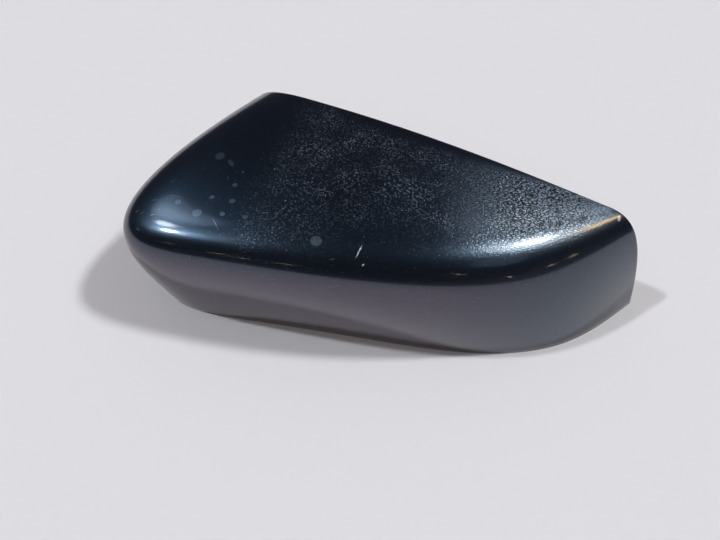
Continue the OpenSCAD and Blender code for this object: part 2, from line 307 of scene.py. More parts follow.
speck_some = add(nodes, "ShaderNodeSeparateColor", {0: speck_cell.outputs["Color"]}).outputs[0]
speck_kept = add(nodes, "ShaderNodeMapRange", {"Value": speck_some, 1: 0.40, 2: 0.95}).outputs[0]
speck = add(nodes, "ShaderNodeMath", {0: speck_near, 1: speck_kept},
            operation="MULTIPLY").outputs[0]
dust_and_glint = add(nodes, "ShaderNodeMapRange", {"Value": crazing, 3: 0.28}).outputs[0]
speck_here = add(nodes, "ShaderNodeMath", {0: speck, 1: dust_and_glint}, operation="MULTIPLY").outputs[0]
pale = add(nodes, "ShaderNodeMath", {0: masks[1], 1: speck_here}, operation="MAXIMUM").outputs[0]

# The lower wall's flake colour 4A4452 is a painted reflection tint: redder and brighter than the
# face's, for the pale floor mirrored in the wall
sound_colour = add(nodes, "ShaderNodeMix", {
    "Factor": sheltered, 6: srgb("303E4B"), 7: srgb("4A4452")}, data_type="RGBA").outputs[2]
flake_colour = add(nodes, "ShaderNodeMix", {"Factor": leathery, 6: sound_colour, 7: srgb("727E88")},
                   data_type="RGBA").outputs[2]
film_colour = add(nodes, "ShaderNodeMix", {"Factor": film, 6: flake_colour, 7: srgb("6C7C88")},
                  data_type="RGBA").outputs[2]
net_colour = add(nodes, "ShaderNodeMix", {"Factor": net_here, 6: film_colour, 7: srgb("14181C")},
                 data_type="RGBA").outputs[2]
crack_colour = add(nodes, "ShaderNodeMix", {"Factor": hair_here, 6: net_colour, 7: srgb("6E7682")},
                   data_type="RGBA").outputs[2]
# Scratches and chips show the pale primer. The specks take the same pale colour, as dust and as
# painted glints
paint_colour = add(nodes, "ShaderNodeMix", {"Factor": pale, 6: crack_colour, 7: srgb("C2C8D0")},
                   data_type="RGBA").outputs[2]
film_bare = add(nodes, "ShaderNodeMath", {0: film, 1: 0.4}, operation="MULTIPLY").outputs[0]
crack_bare = add(nodes, "ShaderNodeMath", {0: hair_here, 1: film_bare},
                 operation="MAXIMUM").outputs[0]
all_bare = add(nodes, "ShaderNodeMath", {0: crack_bare, 1: pale}, operation="MAXIMUM").outputs[0]
flaked = add(nodes, "ShaderNodeMath", {0: 1.0, 1: all_bare}, operation="SUBTRACT").outputs[0]
paint_shader = add(nodes, "ShaderNodeBsdfPrincipled", {
    "Base Color": paint_colour, "Metallic": flaked, "Roughness": 0.29,
    "Specular Tint": srgb("CCC8CC"), "Coat Weight": coat_left, "Coat Roughness": 0.10,
    "Coat IOR": 1.5, "Normal": flake_bump, "Coat Normal": coat_bump})
add(nodes, "ShaderNodeOutputMaterial", {"Surface": paint_shader.outputs[0]})

# Bare black ABS inside, as it came out of a lightly spark-eroded mould: satin, with a fine grain
GRAINS_PER_METRE = 1800.0
GRAIN_RELIEF = 0.03 * MM
bare, nodes = new_material("bare moulded ABS")
place = add(nodes, "ShaderNodeTexCoord").outputs["Object"]
grain = add(nodes, "ShaderNodeTexNoise", {
    "Vector": place, "Scale": GRAINS_PER_METRE, "Detail": 2.0}).outputs["Fac"]
grain_bump = add(nodes, "ShaderNodeBump", {
    "Strength": 0.35, "Distance": GRAIN_RELIEF, "Height": grain}).outputs[0]
bare_shader = add(nodes, "ShaderNodeBsdfPrincipled", {
    "Base Color": srgb("202226"), "Roughness": 0.48, "IOR": 1.53, "Normal": grain_bump})
add(nodes, "ShaderNodeOutputMaterial", {"Surface": bare_shader.outputs[0]})

# The tree lays a grid over the section rule for the outer skin. A second grid runs up that skin,
# back down its inside a wall's thickness away, and round both cut ends, and its seams are then
# merged.
SHELL_SIZES = {
    "Stations": STATIONS, "Wall steps": WALL_STEPS, "Face steps": FACE_STEPS, "Length": CAP_LENGTH,
    "Depth": CAP_DEPTH, "Crown": CROWN_HEIGHT, "End drop": END_DROP, "End lift": END_LIFT,
    "End lean": END_LEAN, "Back fall": BACK_FALL, "Side drop": SIDE_DROP, "Twist": TWIST,
    "Wall": WALL, "Lap share": LAP_HEIGHT / (3 * RIDGE_TIGHTNESS * CROWN_HEIGHT),
    "Lap depth": LAP_DEPTH}
tree, size = new_tree("shell from three guide curves", SHELL_SIZES)
levels = add(tree, "ShaderNodeMath", {0: size["Wall steps"], 1: size["Face steps"]},
             operation="ADD").outputs[0]
level_count = add(tree, "ShaderNodeMath", {0: levels, 1: 1.0}, operation="ADD").outputs[0]
station_count = add(tree, "ShaderNodeMath", {0: size["Stations"], 1: 1.0},
                    operation="ADD").outputs[0]
skin_grid = add(tree, "GeometryNodeMeshGrid", {
    "Vertices X": station_count, "Vertices Y": level_count}).outputs[0]
index = add(tree, "GeometryNodeInputIndex").outputs[0]
per_station = add(tree, "ShaderNodeMath", {0: index, 1: level_count}, operation="DIVIDE").outputs[0]
station = add(tree, "ShaderNodeMath", {0: per_station}, operation="FLOOR").outputs[0]
level = add(tree, "ShaderNodeMath", {0: index, 1: level_count}, operation="MODULO").outputs[0]
steered = []
for line in ("foot", "swell", "turn", "shoulder", "cut"):
    named = add(tree, "GeometryNodeInputNamedAttribute", {"Name": line},
                data_type="FLOAT_VECTOR").outputs[0]
    steered.append(add(tree, "GeometryNodeSampleIndex", {
        "Geometry": size["Geometry"], "Value": named, "Index": station},
        data_type="FLOAT_VECTOR").outputs[0])
climb = add(tree, "ShaderNodeMath", {0: level, 1: size["Wall steps"]},
            operation="DIVIDE", use_clamp=True).outputs[0]
section_points = steered[:4]
while len(section_points) > 1:
    section_points = [
        add(tree, "ShaderNodeMix", {0: climb, 4: a, 5: b}, data_type="VECTOR").outputs[1]
        for a, b in zip(section_points, section_points[1:])]
past_ridge = add(tree, "ShaderNodeMath", {0: level, 1: size["Wall steps"]},
                 operation="SUBTRACT").outputs[0]
over = add(tree, "ShaderNodeMath", {0: past_ridge, 1: size["Face steps"]},
           operation="DIVIDE", use_clamp=True).outputs[0]
plan = add(tree, "ShaderNodeMix", {0: over, 4: steered[3], 5: steered[4]},
           data_type="VECTOR").outputs[1]
plan_xyz = add(tree, "ShaderNodeSeparateXYZ", {0: plan}).outputs
half_length = add(tree, "ShaderNodeMath", {0: size["Length"], 1: 0.5},
                  operation="MULTIPLY").outputs[0]
half_depth = add(tree, "ShaderNodeMath", {0: size["Depth"], 1: 0.5},
                 operation="MULTIPLY").outputs[0]
u = add(tree, "ShaderNodeMath", {0: plan_xyz[0], 1: half_length}, operation="DIVIDE").outputs[0]
v = add(tree, "ShaderNodeMath", {0: plan_xyz[1], 1: half_depth}, operation="DIVIDE").outputs[0]
u_squared = add(tree, "ShaderNodeMath", {0: u, 1: u}, operation="MULTIPLY").outputs[0]
end_rise = add(tree, "ShaderNodeMath", {0: u_squared, 1: size["End lift"]},
               operation="MULTIPLY").outputs[0]
end_fall = add(tree, "ShaderNodeMath", {0: end_rise, 1: size["End drop"]},
               operation="SUBTRACT").outputs[0]
end_curve = add(tree, "ShaderNodeMath", {0: end_fall, 1: u_squared, 2: size["Crown"]},
                operation="MULTIPLY_ADD").outputs[0]
cross_fall = add(tree, "ShaderNodeMath", {0: v, 1: size["Twist"], 2: size["End lean"]},
                 operation="MULTIPLY_ADD").outputs[0]
leaning = add(tree, "ShaderNodeMath", {0: cross_fall, 1: u}, operation="MULTIPLY").outputs[0]
end_height = add(tree, "ShaderNodeMath", {0: end_curve, 1: leaning},
                 operation="SUBTRACT").outputs[0]
side_fall = add(tree, "ShaderNodeMath", {0: v, 1: size["Side drop"], 2: size["Back fall"]},
                operation="MULTIPLY_ADD").outputs[0]
side_height = add(tree, "ShaderNodeMath", {0: side_fall, 1: v}, operation="MULTIPLY").outputs[0]
height = add(tree, "ShaderNodeMath", {0: end_height, 1: side_height},
             operation="SUBTRACT").outputs[0]
face_point = add(tree, "ShaderNodeCombineXYZ", {
    0: plan_xyz[0], 1: plan_xyz[1], 2: height}).outputs[0]
on_face = add(tree, "ShaderNodeMath", {0: past_ridge, 1: 0.5}, operation="GREATER_THAN").outputs[0]
skin_point = add(tree, "GeometryNodeSwitch", {
    "Switch": on_face, "False": section_points[0], "True": face_point},
    input_type="VECTOR").outputs[0]
skin = add(tree, "GeometryNodeSetPosition", {
    "Geometry": skin_grid, "Position": skin_point}).outputs[0]

columns = add(tree, "ShaderNodeMath", {0: level_count, 1: 2.0, 2: 1.0},
              operation="MULTIPLY_ADD").outputs[0]
rows = add(tree, "ShaderNodeMath", {0: size["Stations"], 1: 3.0}, operation="ADD").outputs[0]
wrap_grid = add(tree, "GeometryNodeMeshGrid", {
    "Vertices X": rows, "Vertices Y": columns}).outputs[0]
per_row = add(tree, "ShaderNodeMath", {0: index, 1: columns}, operation="DIVIDE").outputs[0]
row = add(tree, "ShaderNodeMath", {0: per_row}, operation="FLOOR").outputs[0]
column = add(tree, "ShaderNodeMath", {0: index, 1: columns}, operation="MODULO").outputs[0]
row_back = add(tree, "ShaderNodeMath", {0: row, 1: 1.0}, operation="SUBTRACT").outputs[0]
own_station = add(tree, "ShaderNodeClamp", {0: row_back, 1: 0.0, 2: size["Stations"]}).outputs[0]
# 0 on the row at either end, which closes the wall's thickness there, and 1 on all the others
regular_row = add(tree, "ShaderNodeMath", {0: own_station, 1: row_back, 2: 0.5},
                  operation="COMPARE").outputs[0]
mirrored = add(tree, "ShaderNodeMath", {0: columns, 1: 2.0}, operation="SUBTRACT").outputs[0]
down = add(tree, "ShaderNodeMath", {0: mirrored, 1: column}, operation="SUBTRACT").outputs[0]
down_level = add(tree, "ShaderNodeMath", {0: down, 1: 0.0}, operation="MAXIMUM").outputs[0]
own_level = add(tree, "ShaderNodeMath", {0: column, 1: down_level}, operation="MINIMUM").outputs[0]
past_edge = add(tree, "ShaderNodeMath", {0: column, 1: levels}, operation="GREATER_THAN").outputs[0]
not_seam = add(tree, "ShaderNodeMath", {0: down, 1: -0.5}, operation="GREATER_THAN").outputs[0]
inside_here = add(tree, "ShaderNodeMath", {0: past_edge, 1: not_seam},
                  operation="MULTIPLY").outputs[0]
skin_index = add(tree, "ShaderNodeMath", {0: own_station, 1: level_count, 2: own_level},
                 operation="MULTIPLY_ADD").outputs[0]
position = add(tree, "GeometryNodeInputPosition").outputs[0]
normal = add(tree, "GeometryNodeInputNormal").outputs[0]
own_point = add(tree, "GeometryNodeSampleIndex", {
    "Geometry": skin, "Value": position, "Index": skin_index}, data_type="FLOAT_VECTOR").outputs[0]
own_normal = add(tree, "GeometryNodeSampleIndex", {
    "Geometry": skin, "Value": normal, "Index": skin_index}, data_type="FLOAT_VECTOR").outputs[0]
own_climb = add(tree, "ShaderNodeMath", {0: own_level, 1: size["Wall steps"]},
                operation="DIVIDE").outputs[0]
in_lap = add(tree, "ShaderNodeMath", {0: own_climb, 1: size["Lap share"]},
             operation="LESS_THAN").outputs[0]
thinned = add(tree, "ShaderNodeMath", {0: in_lap, 1: size["Lap depth"]},
              operation="MULTIPLY").outputs[0]
thickness = add(tree, "ShaderNodeMath", {0: size["Wall"], 1: thinned},
                operation="SUBTRACT").outputs[0]
inside_depth = add(tree, "ShaderNodeMath", {0: thickness, 1: inside_here},
                   operation="MULTIPLY").outputs[0]
depth_here = add(tree, "ShaderNodeMath", {0: inside_depth, 1: regular_row},
                 operation="MULTIPLY").outputs[0]
moved_in = add(tree, "ShaderNodeVectorMath", {0: own_normal, 3: depth_here},
               operation="SCALE").outputs[0]
wrapped = add(tree, "ShaderNodeVectorMath", {0: own_point, 1: moved_in},
              operation="SUBTRACT").outputs[0]
wrapped_xyz = add(tree, "ShaderNodeSeparateXYZ", {0: wrapped}).outputs
off_floor = add(tree, "ShaderNodeMath", {0: own_level, 1: 0.5}, operation="GREATER_THAN").outputs[0]
wrapped_z = add(tree, "ShaderNodeMath", {0: wrapped_xyz[2], 1: off_floor},
                operation="MULTIPLY").outputs[0]
flat_foot = add(
    tree, "ShaderNodeCombineXYZ", {0: wrapped_xyz[0], 1: wrapped_xyz[1], 2: wrapped_z}).outputs[0]
wrap = add(tree, "GeometryNodeSetPosition", {
    "Geometry": wrap_grid, "Position": flat_foot}).outputs[0]
climbed = add(tree, "GeometryNodeStoreNamedAttribute", {
    "Geometry": wrap, "Name": "level", "Value": own_level},
    data_type="FLOAT", domain="POINT").outputs[0]
sided = add(tree, "GeometryNodeStoreNamedAttribute", {
    "Geometry": climbed, "Name": "inside", "Value": inside_here},
    data_type="FLOAT", domain="POINT").outputs[0]
SEAM_GAP = 0.002 * MM
closed = add(tree, "GeometryNodeMergeByDistance", {
    "Geometry": sided, "Distance": SEAM_GAP}).outputs[0]
painted = add(tree, "GeometryNodeSetMaterial", {"Geometry": closed, "Material": paint}).outputs[0]
inside_named = add(tree, "GeometryNodeInputNamedAttribute", {"Name": "inside"},
                   data_type="FLOAT").outputs[0]
all_inside = add(tree, "ShaderNodeMath", {0: inside_named, 1: 0.75},
                 operation="GREATER_THAN").outputs[0]
finished = add(tree, "GeometryNodeSetMaterial", {
    "Geometry": painted, "Selection": all_inside, "Material": bare}).outputs[0]
real = add(tree, "GeometryNodeRealizeInstances", {"Geometry": finished}).outputs[0]
add(tree, "NodeGroupOutput", {"Geometry": real})
shell = grown("painted_shell", [(s, 0, 0) for s in stations], [], {
    "foot": steering[:, 0], "swell": steering[:, 1], "turn": steering[:, 2],
    "shoulder": steering[:, 3],
    "cut": np.column_stack([cut_line, np.zeros(len(cut_line))])}, tree, SHELL_SIZES)


CREASE = math.radians(40)


def finish_edges(piece, width):
    """Turns the faces out, rounds the edges as cut corners of a mould do, and hands the piece
    over."""
    grid = bmesh.new()
    grid.from_mesh(piece.data)
    bmesh.ops.recalc_face_normals(grid, faces=grid.faces)
    grid.to_mesh(piece.data)
    grid.free()
    rounding = piece.modifiers.new("rounded edges", "BEVEL")
    rounding.width = width
    rounding.segments = 2
    rounding.limit_method = "ANGLE"
    rounding.angle_limit = CREASE
    evaluated = bpy.context.evaluated_depsgraph_get()
    made = bpy.data.meshes.new_from_object(
        piece.evaluated_get(evaluated), preserve_all_data_layers=True, depsgraph=evaluated)
    piece.modifiers.remove(rounding)
    piece.data = made
    piece.data.shade_smooth()
    piece.data.set_sharp_from_angle(angle=CREASE)
    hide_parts("mirror_cover")
    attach(piece, "root")


# How crazed the clear coat is: sound at the nose, on the wall and along the edges, hair cracks in
# the middle, and a coarse leathery net towards the pointed end. The lower wall's flake is made
# redder and brighter than that of the face, fading towards the pointed end: a painted reflection
# tint standing in for the pale floor mirrored in the wall. Places are in mm.
RIDGE_SHARE = 0.62


def ramp(values, none_at, full_at):
    """0 up to one value, 1 from the other on, and even between them."""
    return np.clip((values - none_at) / (full_at - none_at), 0, 1)


count = len(shell.data.vertices)
at = np.zeros(count * 3)
shell.data.vertices.foreach_get("co", at)
x, y = at.reshape(-1, 3)[:, 0] / MM, at.reshape(-1, 3)[:, 1] / MM
level_at = np.zeros(count)
shell.data.attributes["level"].data.foreach_get("value", level_at)
wall_share = level_at / WALL_STEPS
face_share = (level_at - WALL_STEPS) / FACE_STEPS
off_ridge = ramp(wall_share, RIDGE_SHARE, 0.84)
off_cut = ramp(face_share, 0.97, 0.85)
sound_to = -72 + 0.13 * (y + 44)
from_nose = ramp(x, sound_to, sound_to + 16)
from_point = ramp(x, 92, 72)
sound_front = np.exp(-((x + 8) / 42) ** 2 - ((y + 40) / 15) ** 2)
crazed = from_nose * from_point * (1 - 0.85 * sound_front) * off_ridge * off_cut
net_share = crazed * ramp(x, 12, 44)
# Painted reflection tint on the lower wall, fading towards the pointed end
sheltered = ramp(wall_share, RIDGE_SHARE, 0.42) * ramp(x, 75, 15)
shell.data.attributes.new("sheltered", "FLOAT", "POINT").data.foreach_set("value", sheltered)
shell.data.attributes.new("crazing", "FLOAT", "POINT").data.foreach_set("value", crazed)
shell.data.attributes.new("leathery", "FLOAT", "POINT").data.foreach_set("value", net_share)
finish_edges(shell, 0.3 * MM)


# Locating pegs. Two round pegs on stepped bosses are moulded with the shell, and drop into
# holes in the mirror housing before the clips snap home. Each has a tapered lead at its tip.
PEG_SIZES = {
    "Peg radius": 3.0 * MM, "Peg length": 16.0 * MM, "Lead": 2.0 * MM, "Boss radius": 5.5 * MM,
    "Boss length": 18.0 * MM, "Into skin": WALL / 2}
PEG_SPACING = 80.0 * MM
PEG_SIDES = 48
edge_run = unit(EDGE_END - EDGE_START)
edge_in = np.array([edge_run[1], -edge_run[0]])
edge_angle = math.atan2(edge_run[1], edge_run[0])
peg_mid = np.array([-0.042 * CAP_LENGTH, 0.07 * CAP_DEPTH])
peg_plan = [peg_mid - edge_run * PEG_SPACING / 2, peg_mid + edge_run * PEG_SPACING / 2]
tree, size = new_tree("peg on its boss", PEG_SIZES)
boss_height = add(tree, "ShaderNodeMath", {0: size["Boss length"], 1: size["Into skin"]},
                  operation="ADD").outputs[0]
boss = add(tree, "GeometryNodeMeshCylinder", {
    "Vertices": PEG_SIDES, "Radius": size["Boss radius"], "Depth": boss_height}).outputs[0]
boss_lift = add(tree, "ShaderNodeMath", {0: boss_height, 1: 0.5}, operation="MULTIPLY").outputs[0]
boss_place = add(tree, "ShaderNodeCombineXYZ", {2: boss_lift}).outputs[0]
boss_set = add(tree, "GeometryNodeTransform", {
    "Geometry": boss, "Translation": boss_place}).outputs[0]
peg = add(tree, "GeometryNodeMeshCylinder", {
    "Vertices": PEG_SIDES, "Radius": size["Peg radius"], "Depth": size["Peg length"]}).outputs[0]
peg_drop = add(tree, "ShaderNodeMath", {0: size["Peg length"], 1: -0.5},
               operation="MULTIPLY").outputs[0]
peg_place = add(tree, "ShaderNodeCombineXYZ", {2: peg_drop}).outputs[0]
peg_set = add(tree, "GeometryNodeTransform", {"Geometry": peg, "Translation": peg_place}).outputs[0]
lead_tip = add(tree, "ShaderNodeMath", {0: size["Lead"], 1: -0.5, 2: size["Peg radius"]},
               operation="MULTIPLY_ADD").outputs[0]
lead = add(tree, "GeometryNodeMeshCone", {
    "Vertices": PEG_SIDES, "Radius Top": size["Peg radius"], "Radius Bottom": lead_tip,
    "Depth": size["Lead"]}).outputs[0]
lead_drop = add(tree, "ShaderNodeMath", {0: size["Peg length"], 1: size["Lead"]},
                operation="ADD").outputs[0]
lead_low = add(tree, "ShaderNodeMath", {0: lead_drop, 1: -1.0}, operation="MULTIPLY").outputs[0]
lead_place = add(tree, "ShaderNodeCombineXYZ", {2: lead_low}).outputs[0]
lead_set = add(tree, "GeometryNodeTransform", {
    "Geometry": lead, "Translation": lead_place}).outputs[0]
whole = add(tree, "GeometryNodeJoinGeometry", {0: [boss_set, peg_set, lead_set]}).outputs[0]
placed = add(tree, "GeometryNodeInstanceOnPoints", {
    "Points": size["Geometry"], "Instance": whole}).outputs[0]
real = add(tree, "GeometryNodeRealizeInstances", {"Geometry": placed}).outputs[0]
moulded = add(tree, "GeometryNodeSetMaterial", {"Geometry": real, "Material": bare}).outputs[0]
add(tree, "NodeGroupOutput", {"Geometry": moulded})
pegs = grown("locating_pegs", [
    (*p, face_z(p) - WALL - PEG_SIZES["Boss length"]) for p in peg_plan], [], {}, tree, PEG_SIZES)
finish_edges(pegs, 0.3 * MM)


# Ribs. Thin walls moulded across the inside of the face keep it from drumming, one along the cut
# edge keeps that edge straight, and five turn with the section inside the front wall.
RIB_SIZES = {"Rib thickness": 1.6 * MM}
RIB_DEPTH = 5.0 * MM
EDGE_RIB_DEPTH = 8.0 * MM
EDGE_RIB_INSET = 5.0 * MM
RIB_OVERRUN = 22.0 * MM
CROSS_RIB_REACH = 30.0 * MM
RIB_END_GAP = 6.0 * MM
FACE_RIB_POINTS = 17
WALL_RIB_POINTS = 25
WALL_RIBS = 5
# Where the ribs stand along the wall, and how high each climbs in it, as shares of the whole
WALL_RIBS_FROM, WALL_RIBS_SPAN = 0.40, 0.50
CLIMB_FROM, CLIMB_TO, RUN_OUT = 0.2, 0.8, 0.07
rib_points, rib_edges, rib_reach, rib_side = [], [], [], []


def rib_line(line, reach, side):
    """Adds a rib's rooted line, with how far and which way it reaches, and the way across it."""
    base = len(rib_points)
    rib_points.extend(line)
    rib_reach.extend(reach)
    rib_side.extend(side)
    rib_edges.extend((base + k, base + k + 1) for k in range(len(line) - 1))


def face_rib(a, b, depth):
    """Upright rib under the face from plan point a to b."""
    plan = a + (b - a) * np.linspace(0, 1, FACE_RIB_POINTS)[:, None]
    side = unit(np.array([-(b - a)[1], (b - a)[0], 0.0]))
    reaches, sides = [(0, 0, -WALL / 2 - depth)] * FACE_RIB_POINTS, [side] * FACE_RIB_POINTS
    rib_line([(*p, face_z(p) - WALL / 2) for p in plan], reaches, sides)


def section_at(s, t):
    """Points of the outer skin at station s, at the shares t of the climb."""
    c, t = steer(np.array([s]))[0][:, None], np.asarray(t)[:, None]
    return ((1 - t) ** 3 * c[0] + 3 * t * (1 - t) ** 2 * c[1] + 3 * t * t * (1 - t) * c[2]
            + t**3 * c[3])


def wall_rib(s):
    """Rib that turns with the section inside the wall, with its ends run out to nothing."""
    t = np.linspace(CLIMB_FROM, CLIMB_TO, WALL_RIB_POINTS)
    across = section_at(s + NUDGE, t) - section_at(s - NUDGE, t)
    run = section_at(s, t + NUDGE / 2) - section_at(s, t - NUDGE / 2)
    outward = unit(np.cross(across, run))
    from_end = np.minimum(t - CLIMB_FROM, CLIMB_TO - t)
    depth = WALL / 2 + RIB_DEPTH * np.clip(0.2 + from_end / RUN_OUT, 0, 1)
    sides = [unit(across[WALL_RIB_POINTS // 2])] * WALL_RIB_POINTS
    rib_line(section_at(s, t) - outward * WALL / 2, -outward * depth[:, None], sides)


rib_a = EDGE_START + edge_run * RIB_END_GAP + edge_in * EDGE_RIB_INSET
rib_b = EDGE_END - edge_run * RIB_END_GAP + edge_in * EDGE_RIB_INSET
face_rib(peg_plan[0] - edge_run * RIB_OVERRUN, peg_plan[1] + edge_run * RIB_OVERRUN, RIB_DEPTH)
face_rib(rib_a, rib_b, EDGE_RIB_DEPTH)
for p in peg_plan:
    face_rib(p + edge_in * CROSS_RIB_REACH, p - edge_in * ((p - rib_a) @ edge_in), RIB_DEPTH)
for k in range(WALL_RIBS):
    wall_rib(WALL_RIBS_FROM + WALL_RIBS_SPAN * (k + 0.5) / WALL_RIBS)

tree, size = new_tree("rib along a line on the skin", RIB_SIZES)
reach = add(tree, "GeometryNodeInputNamedAttribute", {"Name": "reach"},
            data_type="FLOAT_VECTOR").outputs[0]
side = add(tree, "GeometryNodeInputNamedAttribute", {"Name": "side"},
           data_type="FLOAT_VECTOR").outputs[0]
rooted = add(tree, "GeometryNodeInputPosition").outputs[0]
free_edge = add(tree, "ShaderNodeVectorMath", {0: rooted, 1: reach}, operation="ADD").outputs[0]
sheet = add(tree, "GeometryNodeExtrudeMesh", {"Mesh": size["Geometry"], "Offset Scale": 0.0},
            mode="EDGES")
hung = add(tree, "GeometryNodeSetPosition", {
    "Geometry": sheet.outputs["Mesh"], "Selection": sheet.outputs["Top"],
    "Position": free_edge}).outputs[0]
half = add(tree, "ShaderNodeMath", {0: size["Rib thickness"], 1: -0.5},
           operation="MULTIPLY").outputs[0]
half_back = add(tree, "ShaderNodeVectorMath", {0: side, 3: half}, operation="SCALE").outputs[0]
one_face = add(tree, "GeometryNodeSetPosition", {"Geometry": hung, "Offset": half_back}).outputs[0]
across = add(tree, "ShaderNodeVectorMath", {0: side, 3: size["Rib thickness"]},
             operation="SCALE").outputs[0]
thick = add(tree, "GeometryNodeExtrudeMesh", {
    "Mesh": one_face, "Offset": across, "Offset Scale": 1.0, "Individual": False},
    mode="FACES").outputs["Mesh"]
both = add(tree, "GeometryNodeJoinGeometry", {0: [thick, one_face]}).outputs[0]
solid = add(tree, "GeometryNodeMergeByDistance", {
    "Geometry": both, "Distance": SEAM_GAP}).outputs[0]
real = add(tree, "GeometryNodeRealizeInstances", {"Geometry": solid}).outputs[0]
moulded = add(tree, "GeometryNodeSetMaterial", {"Geometry": real, "Material": bare}).outputs[0]
add(tree, "NodeGroupOutput", {"Geometry": moulded})
ribs = grown("ribs", rib_points, rib_edges, {"reach": rib_reach, "side": rib_side}, tree, RIB_SIZES)
finish_edges(ribs, 0.2 * MM)


# Snap clips. Five springy tongues hang from the face, each with a wedge-shaped hook at its free
# end and two webs behind it, and hold the cap on the mirror housing.
CLIP_WIDTH = 13.0 * MM
CLIP_THICK = 2.0 * MM
CLIP_LENGTH = 34.0 * MM
HOOK_REACH = 2.6 * MM
HOOK_HEIGHT = 7.0 * MM
BEHIND_EDGE_RIB = 6.0 * MM
CLIP_SIZES = {
    "Width": CLIP_WIDTH, "Thickness": CLIP_THICK, "Length": CLIP_LENGTH, "Web depth": 14.0 * MM,
    "Web reach": 5.0 * MM, "Web thickness": 1.6 * MM, "Into skin": WALL / 2}
tree, size = new_tree("clip on each place", CLIP_SIZES)
loop = add(tree, "GeometryNodeInputNamedAttribute", {"Name": "outline"},
           data_type="FLOAT_VECTOR").outputs[0]
is_place = add(tree, "ShaderNodeVectorMath", {0: loop}, operation="LENGTH").outputs["Value"]
in_outline = add(tree, "ShaderNodeMath", {0: is_place, 1: 0.5}, operation="GREATER_THAN").outputs[0]
parted = add(tree, "GeometryNodeSeparateGeometry", {
    "Geometry": size["Geometry"], "Selection": in_outline}, domain="POINT")
drawn = add(tree, "GeometryNodeMeshToCurve", {"Mesh": parted.outputs[0]}).outputs[0]
flat = add(tree, "GeometryNodeFillCurve", {"Curve": drawn}, mode="NGONS").outputs[0]
half = add(tree, "ShaderNodeMath", {0: size["Width"], 1: -0.5}, operation="MULTIPLY").outputs[0]
half_down = add(tree, "ShaderNodeCombineXYZ", {2: half}).outputs[0]
start = add(tree, "GeometryNodeTransform", {"Geometry": flat, "Translation": half_down}).outputs[0]
width_up = add(tree, "ShaderNodeCombineXYZ", {2: size["Width"]}).outputs[0]
pulled = add(tree, "GeometryNodeExtrudeMesh", {
    "Mesh": start, "Offset": width_up, "Offset Scale": 1.0, "Individual": False},
    mode="FACES").outputs["Mesh"]
both = add(tree, "GeometryNodeJoinGeometry", {0: [pulled, start]}).outputs[0]
tongue = add(tree, "GeometryNodeMergeByDistance", {
    "Geometry": both, "Distance": SEAM_GAP}).outputs[0]
stood = add(tree, "GeometryNodeTransform", {
    "Geometry": tongue, "Rotation": (math.pi / 2, 0, 0)}).outputs[0]
web_height = add(tree, "ShaderNodeMath", {0: size["Web depth"], 1: size["Into skin"]},
                 operation="ADD").outputs[0]
web_reach = add(tree, "ShaderNodeMath", {0: size["Web reach"], 1: size["Thickness"]},
                operation="ADD").outputs[0]
web_size = add(tree, "ShaderNodeCombineXYZ", {
    0: web_reach, 1: size["Web thickness"], 2: web_height}).outputs[0]
web = add(tree, "GeometryNodeMeshCube", {"Size": web_size}).outputs[0]
web_x = add(tree, "ShaderNodeMath", {0: web_reach, 1: -0.5}, operation="MULTIPLY").outputs[0]
web_half = add(tree, "ShaderNodeMath", {0: size["Web thickness"], 1: half},
               operation="ADD").outputs[0]
web_high = add(tree, "ShaderNodeMath", {0: web_height, 1: -0.5}, operation="MULTIPLY").outputs[0]
clip_top = add(tree, "ShaderNodeMath", {0: size["Length"], 1: size["Into skin"]},
               operation="ADD").outputs[0]
web_z = add(tree, "ShaderNodeMath", {0: clip_top, 1: web_high}, operation="ADD").outputs[0]
web_near = add(tree, "ShaderNodeCombineXYZ", {0: web_x, 1: web_half, 2: web_z}).outputs[0]
web_far_y = add(tree, "ShaderNodeMath", {0: web_half, 1: -1.0}, operation="MULTIPLY").outputs[0]
web_far = add(tree, "ShaderNodeCombineXYZ", {0: web_x, 1: web_far_y, 2: web_z}).outputs[0]
webs = [add(tree, "GeometryNodeTransform", {"Geometry": web, "Translation": place}).outputs[0]
        for place in (web_near, web_far)]
clip = add(tree, "GeometryNodeJoinGeometry", {0: [stood, *webs]}).outputs[0]
facing = add(tree, "GeometryNodeInputNamedAttribute", {"Name": "facing"},
             data_type="FLOAT_VECTOR").outputs[0]
placed = add(tree, "GeometryNodeInstanceOnPoints", {
    "Points": parted.outputs[1], "Instance": clip, "Rotation": facing}).outputs[0]
real = add(tree, "GeometryNodeRealizeInstances", {"Geometry": placed}).outputs[0]
moulded = add(tree, "GeometryNodeSetMaterial", {"Geometry": real, "Material": bare}).outputs[0]
add(tree, "NodeGroupOutput", {"Geometry": moulded})

front = CLIP_THICK / 2
outline = [(-front, 0), (front, 0), (front + HOOK_REACH, HOOK_HEIGHT * 0.75), (front, HOOK_HEIGHT),
           (front, CLIP_LENGTH + WALL / 2), (-front, CLIP_LENGTH + WALL / 2)]
